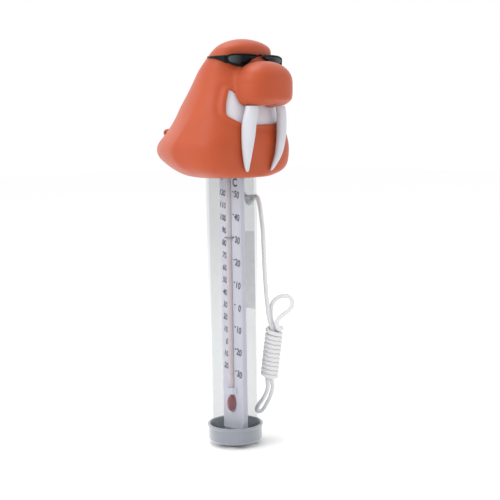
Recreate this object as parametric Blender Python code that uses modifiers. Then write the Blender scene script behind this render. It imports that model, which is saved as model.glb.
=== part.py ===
"""Floating pool thermometer: a hollow vinyl walrus head that floats a clear scale tube.

Frame: origin on the tube's axis at the floor, +Z up, the walrus faces -Y.
Run with: blender --background --python part.py
"""
import math

import bmesh
import bpy
from mathutils import Matrix, Vector

MM = 0.001
GAP = 0.3  # between pieces that touch
DATUM = 3.9  # heights below are measured from here, this far above the floor

# Tube and end cap, in millimetres.
TUBE_R = 14.4
TUBE_WALL = 1.5
TUBE_BOTTOM = 1.4
TUBE_TOP = 172.0
CAP_R = 15.6
CAP_RIM_R = 16.1
CAP_TOP = 7.9
CAP_FLOOR = 1.1
CAP_UNDERSIDE = -1.6
FOOT_R = 9.5
WATER_SLOTS = 6
SLOT_SIZE = (3.2, 6.0)  # outward and across
SLOT_REACH = 11.7

# Scale plate and glass. The plate's face is turned this far from the walrus's face.
PLATE_TURN = math.radians(96.0)
PLATE_W = 18.6
PLATE_FACE = 1.6
PLATE_BACK = -2.0
PLATE_WALL = 2.1
PLATE_BOTTOM = 4.1
PLATE_TOP = 161.0
STEM_R = 1.7
STEM_BORE_R = 0.95
STEM_N = PLATE_FACE + 0.7  # the stem lies in a groove
STEM_BOTTOM = 25.0
STEM_TOP = 149.0
BULB_R = 2.9
BULB_Z = 19.75
BULB_HALF = 4.9
SPIRIT_R = 0.62
SPIRIT_TOP = 106.0
CLIP_WIRE_R = 0.35
CLIP_Z = 116.4
SADDLE_Z = (25.6, 29.2)
LABEL_Z = (73.3, 118.8)
LABEL_ARC = math.radians(80.0)
LABEL_MIDDLE = math.radians(25.3)

# Head shell and what is set into it.
SHELL_WALL = 2.6
HEAD_BOTTOM = 151.0
NECK_FLOOR = 158.4
RECESS_R = 18.0
RECESS_TOP = 155.6
POCKET_DEPTH = 2.4
PLATE_SINK = 1.0
MUZZLE_CENTRE = (27.2, 202.8)
MUZZLE_RADII = (12.8, 16.4, 12.4)
MUZZLE_PLAN = 2.45
MUZZLE_UPPER = 2.1
MUZZLE_LOWER = 5.2
LUG_CENTRE = (-54.0, 176.0)
LUG_R = 2.15
LUG_HOLE_R = 0.75
LUG_HALF_WIDTH = 1.6

# Sections of the head: height, back, front, half width, squareness of the front, taper of the back.
HEAD_SECTIONS = (
    (151.0, -20.5, 20.5, 20.0, 2.0, 0.00),
    (152.0, -25.5, 21.2, 24.5, 2.4, 0.00),
    (154.0, -32.0, 21.6, 29.4, 3.2, 0.10),
    (156.5, -39.5, 21.8, 32.4, 3.8, 0.20),
    (159.0, -46.5, 22.0, 33.8, 4.1, 0.28),
    (162.0, -53.0, 22.4, 34.5, 4.2, 0.33),
    (166.0, -56.0, 23.0, 34.8, 4.1, 0.35),
    (170.0, -54.5, 23.6, 34.4, 3.8, 0.35),
    (173.5, -50.5, 24.0, 33.2, 3.5, 0.35),
    (177.0, -46.2, 24.2, 31.6, 3.2, 0.33),
    (184.0, -38.8, 24.4, 28.8, 2.8, 0.26),
    (191.0, -33.0, 24.4, 26.8, 2.5, 0.20),
    (198.0, -26.2, 24.0, 25.0, 2.3, 0.14),
    (204.5, -20.2, 23.2, 23.5, 2.2, 0.08),
    (210.0, -15.4, 22.0, 22.2, 2.2, 0.04),
    (214.5, -10.6, 21.5, 20.8, 2.2, 0.02),
    (218.4, -7.0, 22.2, 19.0, 2.2, 0.00),
    (221.8, -3.4, 22.6, 17.2, 2.2, 0.00),
    (224.2, -0.4, 21.0, 13.8, 2.0, 0.00),
    (226.0, 3.2, 17.5, 8.6, 2.0, 0.00),
    (227.0, 7.0, 13.5, 3.6, 2.0, 0.00),
)
WIDEST = 0.42  # of each section's length, from its front

# Centreline of each tusk: height, forward, sideways, thickness across, thickness along.
TUSK = (
    (195.0, 27.2, 9.8, 3.8, 3.4),
    (192.7, 27.8, 10.4, 4.2, 3.6),
    (191.6, 28.2, 10.7, 7.0, 5.3),
    (188.5, 28.7, 11.3, 7.4, 5.5),
    (184.5, 28.4, 12.1, 7.9, 5.6),
    (180.0, 27.8, 12.7, 8.0, 5.6),
    (174.0, 27.3, 12.9, 7.5, 5.4),
    (168.0, 26.4, 12.7, 6.3, 5.0),
    (163.0, 25.4, 12.1, 4.9, 4.2),
    (158.5, 23.9, 10.9, 3.4, 3.0),
    (155.6, 22.9, 9.8, 2.1, 2.0),
    (154.6, 22.5, 9.3, 1.0, 1.0),
)

# Outline of the mouth opening on the walrus's right half: sideways, height.
MOUTH = (
    (0.0, 180.0),
    (8.0, 180.1),
    (13.6, 180.8),
    (17.6, 182.7),
    (20.9, 184.9),
    (21.3, 186.2),
    (20.7, 190.5),
    (19.4, 195.5),
    (18.1, 199.8),
    (14.8, 196.4),
    (12.0, 194.4),
    (0.0, 194.4),
)

# Sunglasses: outline of one lens, measured outward from its nose corner and up from its middle.
LENS_OUTLINE = (
    (0.0, 2.6),
    (1.2, 3.3),
    (6.0, 3.6),
    (12.0, 3.6),
    (17.0, 3.3),
    (19.9, 2.2),
    (20.3, 0.4),
    (19.2, -1.4),
    (16.4, -2.5),
    (13.0, -3.3),
    (10.0, -3.2),
    (7.2, -1.9),
    (4.2, 0.5),
    (1.6, 1.7),
)
LENS_INNER = (1.6, 24.2)
LENS_OUTER = (22.0, 19.8)
LENS_Z = 214.6
RIM_WIDTH = 0.8
FRAME_THICK = 1.5
LENS_THICK = 0.9
ARM_END = 3.0

# The tether: sideways to the walrus's left and front, behind the tube, and up.
CORD_R = 1.25
CORD_SIDE = math.radians(-44.0)
LOOP_R = 16.25
LOOP_Z = 152.6
KNOT = (10.4, 16.6, 136.8)
STANDING = (
    (14.6, 13.9, 138.6),
    (15.4, 12.4, 137.4),
    (16.3, 10.4, 133.6),
    (17.1, 7.6, 127.0),
    (17.8, 5.0, 119.0),
    (18.1, 3.6, 108.0),
    (18.4, 2.6, 97.0),
    (18.9, 1.8, 87.0),
    (19.6, 1.2, 77.0),
    (20.3, 0.9, 70.0),
    (21.4, 0.8, 64.2),
)
HANK_TOP = (23.7, 1.0, 62.8)
HANK_BOTTOM = (20.1, 3.4, 32.6)
HANK_R = 5.1
TOP_BIGHT = (
    (22.3, 3.4, 64.2),
    (21.7, 4.0, 69.0),
    (21.9, 4.1, 74.6),
    (23.6, 3.6, 78.6),
    (26.7, 2.6, 81.0),
    (29.7, 1.6, 81.8),
    (32.3, 0.6, 81.1),
    (33.9, 0.0, 78.9),
    (33.8, -0.4, 76.4),
    (32.0, -0.8, 73.8),
    (29.0, -1.5, 71.6),
    (26.4, -2.3, 69.6),
    (24.9, -2.8, 67.0),
    (24.7, -2.8, 64.2),
)
BOTTOM_BIGHT = (
    (19.1, 4.8, 30.8),
    (19.3, 5.2, 27.4),
    (18.6, 6.0, 23.8),
    (16.8, 7.6, 19.6),
    (15.0, 9.2, 15.8),
    (13.8, 10.6, 13.4),
    (13.6, 12.0, 11.8),
    (14.8, 12.8, 11.3),
    (16.6, 12.2, 12.6),
    (18.4, 10.4, 15.4),
    (20.2, 8.4, 19.4),
    (21.8, 6.6, 23.8),
    (22.5, 5.2, 27.8),
    (22.1, 4.5, 30.8),
)


def clear_scene():
    for obj in list(bpy.data.objects):
        bpy.data.objects.remove(obj)


def make_collection(name):
    made = bpy.data.collections.new(name)
    bpy.context.scene.collection.children.link(made)
    return made


def material(name, colour, roughness, metallic=0.0, alpha=1.0):
    made = bpy.data.materials.new(name)
    made.use_nodes = True
    shader = made.node_tree.nodes["Principled BSDF"]
    shader.inputs["Base Color"].default_value = (*colour, 1.0)
    shader.inputs["Roughness"].default_value = roughness
    shader.inputs["Metallic"].default_value = metallic
    shader.inputs["Alpha"].default_value = alpha
    return made


def head_point(forward, right, up):
    """A point given from the walrus's own view: forward is -Y, its right is -X."""
    return Vector((-right, -forward, up)) * MM


def plate_point(along, out, up):
    """A point on the scale plate: along its width, out of its face, and up."""
    normal = Vector((-math.sin(PLATE_TURN), -math.cos(PLATE_TURN), 0.0))
    width = Vector((-normal.y, normal.x, 0.0))
    return (width * along + normal * out + Vector((0.0, 0.0, up))) * MM


def cord_point(point):
    """A point of the tether: aside, behind the tube, and up."""
    aside, behind, up = point
    side = Vector((math.cos(CORD_SIDE), math.sin(CORD_SIDE), 0.0))
    back = Vector((-side.y, side.x, 0.0))
    return (side * aside + back * behind + Vector((0.0, 0.0, up))) * MM


def mesh_object(name, bm, group):
    mesh = bpy.data.meshes.new(name)
    bm.to_mesh(mesh)
    bm.free()
    obj = bpy.data.objects.new(name, mesh)
    group.objects.link(obj)
    return obj


def dress(obj, surface, sharp=math.radians(35.0)):
    obj.data.materials.clear()
    obj.data.materials.append(surface)
    obj.data.shade_smooth()
    obj.data.set_sharp_from_angle(angle=sharp)
    return obj


def as_cutter(obj):
    obj.hide_render = True
    obj.display_type = "WIRE"
    return obj


def boolean(obj, other, operation):
    step = obj.modifiers.new(operation.lower(), "BOOLEAN")
    step.operation = operation
    step.solver = "EXACT"
    step.object = other
    as_cutter(other)


def baked(obj, group, weld=0.0):
    """The object as its modifiers leave it, as a plain mesh of the same name."""
    bpy.context.view_layer.update()
    graph = bpy.context.evaluated_depsgraph_get()
    mesh = bpy.data.meshes.new_from_object(obj.evaluated_get(graph))
    name = obj.name
    place = obj.matrix_world.copy()
    bpy.data.objects.remove(obj)
    if weld:
        bm = bmesh.new()
        bm.from_mesh(mesh)
        bmesh.ops.remove_doubles(bm, verts=bm.verts, dist=weld)
        bm.to_mesh(mesh)
        bm.free()
    made = bpy.data.objects.new(name, mesh)
    made.matrix_world = place
    group.objects.link(made)
    return made


def loft(name, rings, group):
    """A closed skin over rings that have the same number of points each."""
    bm = bmesh.new()
    rows = [[bm.verts.new(point) for point in ring] for ring in rings]
    for low, high in zip(rows, rows[1:]):
        for i in range(len(low)):
            j = (i + 1) % len(low)
            bm.faces.new((low[i], low[j], high[j], high[i]))
    bm.faces.new(list(reversed(rows[0])))
    bm.faces.new(rows[-1])
    bmesh.ops.recalc_face_normals(bm, faces=bm.faces)
    return mesh_object(name, bm, group)


def turned(name, profile, group, steps=48, sweep=2 * math.pi, closed=False):
    """A profile of (radius, height) points turned about Z. It runs down its outer side."""
    bm = bmesh.new()
    points = [bm.verts.new((r * MM, 0.0, z * MM)) for r, z in profile]
    for a, b in zip(points, points[1:]):
        bm.edges.new((a, b))
    if closed:
        bm.edges.new((points[-1], points[0]))
    obj = mesh_object(name, bm, group)
    screw = obj.modifiers.new("turn", "SCREW")
    screw.axis = "Z"
    screw.angle = sweep
    screw.steps = steps
    screw.render_steps = steps
    screw.use_merge_vertices = True
    screw.merge_threshold = 0.00001
    screw.use_smooth_shade = True
    return obj


def cylinder(name, radius, low, high, group, steps=48):
    profile = [(0.0, high), (radius, high), (radius, low), (0.0, low)]
    return turned(name, profile, group, steps)


def extruded(name, outline, thickness, group, holes=()):
    """A flat outline in the local XY plane, given in millimetres, with a thickness."""
    curve = bpy.data.curves.new(name, "CURVE")
    curve.dimensions = "2D"
    curve.fill_mode = "BOTH"
    curve.extrude = thickness * MM / 2
    for loop in (outline, *holes):
        spline = curve.splines.new("POLY")
        spline.points.add(len(loop) - 1)
        for point, (x, y) in zip(spline.points, loop):
            point.co = (x * MM, y * MM, 0.0, 1.0)
        spline.use_cyclic_u = True
    obj = bpy.data.objects.new(name, curve)
    group.objects.link(obj)
    return obj


def smooth_line(points, spacing):
    """Points spaced evenly along the smooth curve through a route's own points."""
    ends = [points[0] * 2 - points[1], *points, points[-1] * 2 - points[-2]]
    fine = []
    for i in range(1, len(ends) - 2):
        a, b, c, d = ends[i - 1 : i + 3]
        for k in range(16):
            t = k / 16
            fine.append(
                0.5 * (2 * b + (c - a) * t + (2 * a - 5 * b + 4 * c - d) * t**2
                       + (3 * b - a - 3 * c + d) * t**3)
            )
    fine.append(points[-1])
    total = sum((q - p).length for p, q in zip(fine, fine[1:]))
    count = max(3, round(total / spacing))
    wanted = [total * k / count for k in range(count + 1)]
    line = [fine[0]]
    walked = 0.0
    for p, q in zip(fine, fine[1:]):
        step = (q - p).length
        while len(line) < count and walked + step >= wanted[len(line)]:
            line.append(p.lerp(q, (wanted[len(line)] - walked) / step))
        walked += step
    line.append(fine[-1])
    return line


def grown(outline, grow):
    """A closed outline with each side moved outward by grow; it runs clockwise or the other way."""
    area = sum(a[0] * b[1] - b[0] * a[1] for a, b in zip(outline, outline[1:] + outline[:1]))
    turn = 1.0 if area > 0 else -1.0
    moved = []
    for i, (x, y) in enumerate(outline):
        here = Vector((x, y))
        before = (here - Vector(outline[i - 1])).normalized()
        after = (Vector(outline[(i + 1) % len(outline)]) - here).normalized()
        out_before = Vector((before.y, -before.x)) * turn
        out_after = Vector((after.y, -after.x)) * turn
        share = out_before + out_after
        here += share * grow / max(1 + out_before.dot(out_after), 0.4)
        moved.append((here.x, here.y))
    return moved


def wire(name, points, radius, group, resolution=2, cyclic=False):
    """A round wire or cord through points in metres, as a welded mesh."""
    curve = bpy.data.curves.new(name, "CURVE")
    curve.dimensions = "3D"
    curve.bevel_depth = radius * MM
    curve.bevel_resolution = resolution
    curve.use_fill_caps = True
    spline = curve.splines.new("POLY")
    spline.points.add(len(points) - 1)
    for point, place in zip(spline.points, points):
        point.co = (*place, 1.0)
    spline.use_cyclic_u = cyclic
    obj = bpy.data.objects.new(name, curve)
    group.objects.link(obj)
    return baked(obj, group, weld=0.000005)


# --- the head -------------------------------------------------------------


def section_at(height):
    """The head's section at a height, between the two listed sections round it."""
    for low, high in zip(HEAD_SECTIONS, HEAD_SECTIONS[1:]):
        if low[0] <= height <= high[0]:
            t = (height - low[0]) / (high[0] - low[0])
            return [a + (b - a) * t for a, b in zip(low, high)]
    return list(HEAD_SECTIONS[0] if height < HEAD_SECTIONS[0][0] else HEAD_SECTIONS[-1])


def head_ring(height, inset, count):
    """One section of the head: a squarish front, a tapering back, all set in by inset."""
    _, back, front, half, square, taper = section_at(height)
    middle = front - WIDEST * (front - back)
    ahead = front - middle - inset
    behind = middle - back - inset
    half -= inset
    ring = []
    for i in range(count):
        angle = 2 * math.pi * i / count
        c, s = math.cos(angle), math.sin(angle)
        power = 2 / square if c > 0 else 1.0
        reach = ahead if c > 0 else behind
        forward = middle + reach * math.copysign(abs(c) ** power, c)
        right = half * math.copysign(abs(s) ** power, s) * (1 + taper * min(c, 0.0))
        ring.append(head_point(forward, right, height))
    return ring


def head_form(name, inset, group, low=HEAD_BOTTOM, high=227.0, count=40):
    heights = [low, *[s[0] for s in HEAD_SECTIONS if low + 0.6 < s[0] < high - 0.6], high]
    return loft(name, [head_ring(z, inset, count) for z in heights], group)


def muzzle(name, inset, group):
    """One broad rounded muzzle, nearly flat underneath."""
    bm = bmesh.new()
    bmesh.ops.create_uvsphere(bm, u_segments=32, v_segments=20, radius=1.0)
    size = [(r - inset) * MM for r in MUZZLE_RADII]
    forward, up = MUZZLE_CENTRE
    middle = head_point(forward, 0.0, up)
    for vert in bm.verts:
        x, y, z = vert.co
        rise = MUZZLE_UPPER if z > 0 else MUZZLE_LOWER
        plan = (abs(x) ** MUZZLE_PLAN + abs(y) ** MUZZLE_PLAN) ** (rise / MUZZLE_PLAN)
        reach = (plan + abs(z) ** rise) ** (-1 / rise)
        vert.co = middle + Vector((x * size[1], y * size[0], z * size[2])) * reach
    return mesh_object(name, bm, group)


def mouth_prism(name, grow, group, depth=(0.0, 60.0)):
    """The mouth opening's outline, both halves, carried forward through the face."""
    outline = list(MOUTH) + [(-x, z) for x, z in reversed(MOUTH) if x > 0.01]
    outline = grown(outline, grow)
    obj = extruded(name, outline, depth[1] - depth[0], group)
    obj.rotation_euler = (math.radians(90.0), 0.0, 0.0)
    obj.location = (0.0, -(depth[0] + depth[1]) / 2 * MM, 0.0)
    return baked(obj, group, weld=0.000005)


def face_layer(name, grow, outer, inner, group, cutters, low=174.0, high=206.0):
    """What lies inside the mouth's outline between two depths under the face."""
    made = mouth_prism(name, grow, group)
    if outer is not None:
        boolean(made, head_form(name + "_outer", outer, cutters, low, high), "INTERSECT")
    boolean(made, head_form(name + "_inner", inner, cutters, low - 2, high + 2), "DIFFERENCE")
    return made


def tusk_rings(side, grow, extra=0.0):
    rings = []
    for up, forward, across, wide, deep in TUSK:
        lean = math.radians(42.0) * side
        ring = []
        for i in range(14):
            angle = 2 * math.pi * i / 14
            a = (wide / 2 + grow) * math.cos(angle)
            b = (deep / 2 + grow) * math.sin(angle)
            ahead = a * math.cos(lean) + b * math.sin(lean)
            aside = -a * math.sin(lean) + b * math.cos(lean)
            ring.append(head_point(forward + ahead, side * across + aside, up))
        rings.append(ring)
    if extra:
        rings[0] = [p + Vector((0.0, 0.0, extra * MM)) for p in rings[0]]
    return rings


def eyelet_lug(parts):
    """A rounded tab at the back of the head, with its hole running sideways."""
    back, up = LUG_CENTRE
    arc = [math.radians(90 + 180 * k / 10) for k in range(11)]
    outline = [(LUG_R * math.cos(a), LUG_R * math.sin(a)) for a in arc]
    outline += [(9.0, -3.4), (9.0, 3.4)]
    lug = extruded("lug", outline, 2 * LUG_HALF_WIDTH, parts)
    facing = Matrix(((0, 0, 1), (-1, 0, 0), (0, 1, 0))).to_4x4()
    lug.matrix_world = Matrix.Translation(head_point(back, 0.0, up)) @ facing
    return baked(lug, parts, weld=0.000005)


def head_shell(parts, cutters, surface):
    shell = head_form("head_shell", 0.0, parts)
    boolean(shell, muzzle("muzzle", 0.0, cutters), "UNION")
    remesh = shell.modifiers.new("blend", "REMESH")
    remesh.mode = "VOXEL"
    remesh.voxel_size = 2.1 * MM
    soften = shell.modifiers.new("soften", "SMOOTH")
    soften.factor = 0.5
    soften.iterations = 2
    thin = shell.modifiers.new("thin", "DECIMATE")
    thin.ratio = 0.19
    shell = baked(shell, parts)

    boolean(shell, eyelet_lug(cutters), "UNION")
    cavity = head_form("cavity", SHELL_WALL, cutters, NECK_FLOOR, 224.0, 28)
    boolean(cavity, muzzle("muzzle_hollow", SHELL_WALL + 1.6, cutters), "UNION")
    pad = face_layer("pad", 2.6, None, POCKET_DEPTH + SHELL_WALL, cutters, cutters)
    boolean(cavity, pad, "DIFFERENCE")
    boolean(shell, cavity, "DIFFERENCE")

    pocket = face_layer("pocket", GAP, None, POCKET_DEPTH, cutters, cutters)
    clear = head_form("pocket_reach", -0.8, cutters, 174.0, 206.0)
    boolean(pocket, clear, "INTERSECT")
    boolean(shell, pocket, "DIFFERENCE")
    for side, word in ((1, "right"), (-1, "left")):
        socket = loft(f"{word}_socket", tusk_rings(side, GAP, GAP), cutters)
        boolean(shell, socket, "DIFFERENCE")

    for side, word in ((1, "right"), (-1, "left")):
        seat = extruded(f"{word}_glasses_seat", lens_loop(0.4), FRAME_THICK + 0.7, cutters)
        seat.matrix_world = lens_frame(side)
        boolean(shell, baked(seat, cutters, weld=0.000005), "DIFFERENCE")
    boolean(shell, cylinder("neck_bore", TUBE_R + GAP, 140.0, 166.0, cutters), "DIFFERENCE")
    boolean(shell, cylinder("cord_recess", RECESS_R, 140.0, RECESS_TOP, cutters), "DIFFERENCE")
    hole = cylinder("lug_hole", LUG_HOLE_R, -6.0, 6.0, cutters, 16)
    hole.rotation_euler = (0.0, math.radians(90.0), 0.0)
    hole.location = head_point(LUG_CENTRE[0], 0.0, LUG_CENTRE[1])
    boolean(shell, hole, "DIFFERENCE")
    shell = baked(shell, parts)
    return dress(shell, surface)


def mouth_plate(parts, cutters, surface):
    plate = face_layer("mouth_plate", 0.0, PLATE_SINK, POCKET_DEPTH - GAP, parts, cutters)
    for side, word in ((1, "right"), (-1, "left")):
        room = loft(f"{word}_room", tusk_rings(side, GAP, 2.0), cutters)
        boolean(plate, room, "DIFFERENCE")
    return dress(baked(plate, parts), surface)


def tusks(parts, surface):
    for side, word in ((1, "right"), (-1, "left")):
        dress(loft(f"{word}_tusk", tusk_rings(side, 0.0), parts), surface)


# --- the sunglasses ---------------------------------------------------------


def lens_frame(side):
    """The lens plane's axes: outward along the lens, up, and out of its face."""
    inner = head_point(LENS_INNER[1], side * LENS_INNER[0], LENS_Z)
    outer = head_point(LENS_OUTER[1], side * LENS_OUTER[0], LENS_Z)
    along = (outer - inner).normalized()
    up = Vector((0.0, 0.0, 1.0))
    face = along.cross(up)
    place = Matrix((along, up, face)).transposed().to_4x4()
    place.translation = inner
    return place


def lens_loop(grow, count=44):
    """The lens outline as a smooth loop, drawn in or out about its middle by grow."""
    middle = Vector((10.4, 0.8, 0.0))
    points = [Vector((x, y, 0.0)) for x, y in LENS_OUTLINE]
    closed = smooth_line([*points, points[0]], 55.0 / count)[:-1]
    loop = []
    for here in closed:
        away = here - middle
        loop.append((middle.x + away.x * (1 + grow / 10.0), middle.y + away.y * (1 + grow / 3.2)))
    return loop


def temple_arm(side, cutters):
    """A strip that tapers back along the side of the head, clear of it."""
    rings = []
    for k in range(9):
        t = k / 8
        forward = LENS_OUTER[1] - 0.2 + (ARM_END - LENS_OUTER[1]) * t
        top = LENS_Z + 2.6 + 0.3 * t
        low = LENS_Z + 1.8 - 3.4 * (1 - t) ** 2
        up = (top + low) / 2
        _, back, front, half, square, _ = section_at(up)
        middle = front - WIDEST * (front - back)
        reach = (front - middle) if forward > middle else (middle - back)
        power = square if forward > middle else 2.0
        share = min(abs(forward - middle) / reach, 0.999)
        surface = half * (1 - share**power) ** (1 / power)
        gap = surface + 0.75
        across = gap if t > 0.55 else max(gap, LENS_OUTER[0] - 0.75 - 1.1 * t)
        thick = 1.2 - 0.3 * t
        ring = [(across, low), (across + thick, low), (across + thick, top), (across, top)]
        rings.append([head_point(forward, side * a, h) for a, h in ring])
    return loft(f"arm_{side}", rings, cutters)


def sunglasses(parts, cutters, frame_surface, lens_surface):
    frame = None
    for side, word in ((1, "right"), (-1, "left")):
        name = "sunglasses_frame" if frame is None else f"{word}_rim"
        group = parts if frame is None else cutters
        rim = extruded(name, lens_loop(0.0), FRAME_THICK, group, holes=[lens_loop(-RIM_WIDTH)])
        rim.matrix_world = lens_frame(side)
        rim = baked(rim, group, weld=0.000005)
        if frame is None:
            frame = rim
        else:
            boolean(frame, rim, "UNION")
        outline = [(x + 0.25, y + 0.12) for x, y in lens_loop(-RIM_WIDTH - 0.6)]
        lens = extruded(f"{word}_lens", outline, LENS_THICK, parts)
        lens.matrix_world = lens_frame(side)
        dress(baked(lens, parts, weld=0.000005), lens_surface)
        boolean(frame, temple_arm(side, cutters), "UNION")
    ends = [head_point(24.2, side * 2.0, LENS_Z + 2.6) for side in (1, -1)]
    middle = head_point(24.8, 0.0, LENS_Z + 3.0)
    boolean(frame, wire("bridge", [ends[0], middle, ends[1]], 0.62, cutters), "UNION")
    return dress(baked(frame, parts), frame_surface)


# --- the tube, its seal and its cap -------------------------------------------


def neck_collar(parts, surface):
    """A rigid sleeve glued inside the neck, grooved for the seal."""
    inner, outer, low, high = TUBE_R + GAP, 17.2, NECK_FLOOR + GAP, 171.0
    flange = 18.4
    profile = [
        (inner, high), (outer, high), (outer, low + 2.0), (flange, low + 2.0), (flange, low),
        (inner, low), (inner, 164.0), (16.5, 164.0), (16.5, 166.4), (inner, 166.4),
    ]
    return dress(turned("neck_collar", profile, parts, closed=True), surface)


def seal_ring(parts, surface):
    angles = [math.radians(90 - 45 * k) for k in range(8)]
    points = [(15.45 + 0.72 * math.cos(a), 165.2 + 0.72 * math.sin(a)) for a in angles]
    return dress(turned("neck_seal_ring", points, parts, closed=True), surface)


def clear_tube(parts, surface):
    inner = TUBE_R - TUBE_WALL
    profile = [
        (inner + 0.3, TUBE_TOP), (TUBE_R - 0.3, TUBE_TOP), (TUBE_R, TUBE_TOP - 0.3),
        (TUBE_R, TUBE_BOTTOM + 0.3), (TUBE_R - 0.3, TUBE_BOTTOM), (inner + 0.3, TUBE_BOTTOM),
        (inner, TUBE_BOTTOM + 0.3), (inner, TUBE_TOP - 0.3),
    ]
    return dress(turned("clear_tube", profile, parts, steps=64, closed=True), surface)


def top_plug(parts, surface):
    inner = TUBE_R - TUBE_WALL - GAP
    profile = [
        (0.0, 174.4), (TUBE_R - 0.5, 174.4), (TUBE_R, 173.9), (TUBE_R, TUBE_TOP + GAP),
        (inner, TUBE_TOP + GAP), (inner, 164.5), (inner - 0.8, 163.7), (0.0, 163.7),
    ]
    return dress(turned("tube_top_plug", profile, parts), surface)


def end_cap(parts, cutters, surface):
    inner = TUBE_R + GAP
    profile = [
        (0.0, CAP_FLOOR), (inner, CAP_FLOOR), (inner, CAP_TOP), (inner + 0.4, CAP_TOP + 0.2),
        (CAP_RIM_R, CAP_TOP), (CAP_RIM_R + 0.1, CAP_TOP - 0.8), (CAP_R, CAP_TOP - 1.5),
        (CAP_R, CAP_UNDERSIDE + 1.2), (CAP_R - 0.9, CAP_UNDERSIDE), (FOOT_R, CAP_UNDERSIDE),
        (FOOT_R, 0.5 - DATUM), (FOOT_R - 0.5, -DATUM), (0.0, -DATUM),
    ]
    cap = turned("end_cap", profile, parts, steps=64)
    for k in range(WATER_SLOTS):
        slot = slot_cutter(f"water_slot_{k}", k * 360.0 / WATER_SLOTS + 30.0, cutters)
        boolean(cap, slot, "DIFFERENCE")
    for out in (PLATE_FACE + GAP, PLATE_BACK - GAP - 1.2):
        boolean(cap, plate_rib(out, cutters), "UNION")
    return dress(baked(cap, parts), surface)


def slot_cutter(name, degrees, group):
    """A slot through the floor outside the foot, for the water."""
    bm = bmesh.new()
    bmesh.ops.create_cube(bm, size=1.0)
    bmesh.ops.scale(bm, vec=(SLOT_SIZE[0] * MM, SLOT_SIZE[1] * MM, 8.0 * MM), verts=bm.verts)
    bmesh.ops.translate(bm, vec=(SLOT_REACH * MM, 0.0, 0.0), verts=bm.verts)
    bmesh.ops.rotate(bm, matrix=Matrix.Rotation(math.radians(degrees), 3, "Z"), verts=bm.verts)
    return mesh_object(name, bm, group)


def plate_rib(out, group):
    """A low rib on the cap's floor that holds the foot of the scale plate."""
    corners = [(-4.5, out), (4.5, out), (4.5, out + 1.2), (-4.5, out + 1.2)]
    rings = [[plate_point(a, n, z) for a, n in corners] for z in (CAP_FLOOR - 1.0, PLATE_BOTTOM + 0.8)]
    return loft(f"rib_{out:.1f}", rings, group)


# --- the scale and its glass ----------------------------------------------------


def scale_plate(parts, cutters, surface):
    """A channel: a grooved face with a flange down each side, open at the back."""
    half, deep, edge = PLATE_W / 2, PLATE_FACE - PLATE_WALL, 0.6
    inside = half - 1.4
    outline = [
        (-half + edge, PLATE_FACE), (half - edge, PLATE_FACE), (half, PLATE_FACE - edge),
        (half, PLATE_BACK), (inside, PLATE_BACK), (inside, deep),
        (-inside, deep), (-inside, PLATE_BACK), (-half, PLATE_BACK), (-half, PLATE_FACE - edge),
    ]
    rings = [[plate_point(a, n, z) for a, n in outline] for z in (PLATE_BOTTOM, PLATE_TOP)]
    plate = loft("scale_plate", rings, parts)
    groove = cylinder("stem_groove", STEM_R + GAP, BULB_Z, PLATE_TOP + 1.0, cutters, 24)
    groove.location = plate_point(0.0, STEM_N, 0.0)
    boolean(plate, groove, "DIFFERENCE")
    window = turned("bulb_window", oval_profile(BULB_R + 0.55, BULB_HALF + 0.7), cutters, 24)
    window.location = plate_point(0.0, STEM_N, BULB_Z)
    boolean(plate, window, "DIFFERENCE")
    for side in (-1, 1):
        boolean(plate, clip_hole(side, CLIP_Z, cutters), "DIFFERENCE")
    return dress(baked(plate, parts), surface)


def oval_profile(radius, half):
    steps = [math.radians(180.0 * k / 14) for k in range(15)]
    return [(max(radius * math.sin(a), 0.0), half * math.cos(a)) for a in steps]


def clip_hole(side, up, group):
    place = [plate_point(side * clip_reach(), n, up) for n in (PLATE_FACE - PLATE_WALL - 0.7, PLATE_FACE + 0.8)]
    return wire(f"clip_hole_{side}", place, CLIP_WIRE_R + GAP, group)


def clip_reach():
    return STEM_R + GAP + CLIP_WIRE_R + 0.1


def glass_stem(parts, surface):
    profile = [
        (STEM_BORE_R, STEM_TOP), (STEM_R - 0.2, STEM_TOP), (STEM_R, STEM_TOP - 0.2),
        (STEM_R, STEM_BOTTOM), (STEM_BORE_R, STEM_BOTTOM),
    ]
    stem = turned("glass_stem", profile, parts, steps=20, closed=True)
    stem.location = plate_point(0.0, STEM_N, 0.0)
    return dress(stem, surface)


def stem_tip(parts, surface):
    """The bead that seals the glass at the top."""
    low = STEM_TOP + GAP
    profile = [(0.0, low + 1.5), (0.9, low + 1.2), (STEM_R - 0.1, low + 0.5), (STEM_R - 0.1, low), (0.0, low)]
    tip = turned("stem_tip", profile, parts, steps=20)
    tip.location = plate_point(0.0, STEM_N, 0.0)
    return dress(tip, surface)


def bulb(parts, surface):
    profile = [(r, z + BULB_Z) for r, z in oval_profile(BULB_R, BULB_HALF)]
    made = turned("glass_bulb", profile, parts, steps=24)
    made.location = plate_point(0.0, STEM_N, 0.0)
    return dress(made, surface)


def spirit_column(parts, surface):
    made = cylinder("spirit_column", SPIRIT_R, STEM_BOTTOM, SPIRIT_TOP, parts, 16)
    made.location = plate_point(0.0, STEM_N, 0.0)
    return dress(made, surface)


def clip(name, up, parts, surface):
    """A wire staple: over the glass, through the plate and bent apart behind it."""
    reach = clip_reach()
    behind = PLATE_FACE - PLATE_WALL - GAP - CLIP_WIRE_R
    route = [(-reach - 2.2, behind), (-reach - 0.5, behind), (-reach, behind + 0.5)]
    for k in range(9):
        a = math.radians(180.0 - 22.5 * k)
        route.append((reach * math.cos(a), STEM_N + reach * math.sin(a)))
    route += [(reach, behind + 0.5), (reach + 0.5, behind), (reach + 2.2, behind)]
    points = [plate_point(a, n, up) for a, n in route]
    return dress(wire(name, points, CLIP_WIRE_R, parts, 1), surface)


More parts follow.
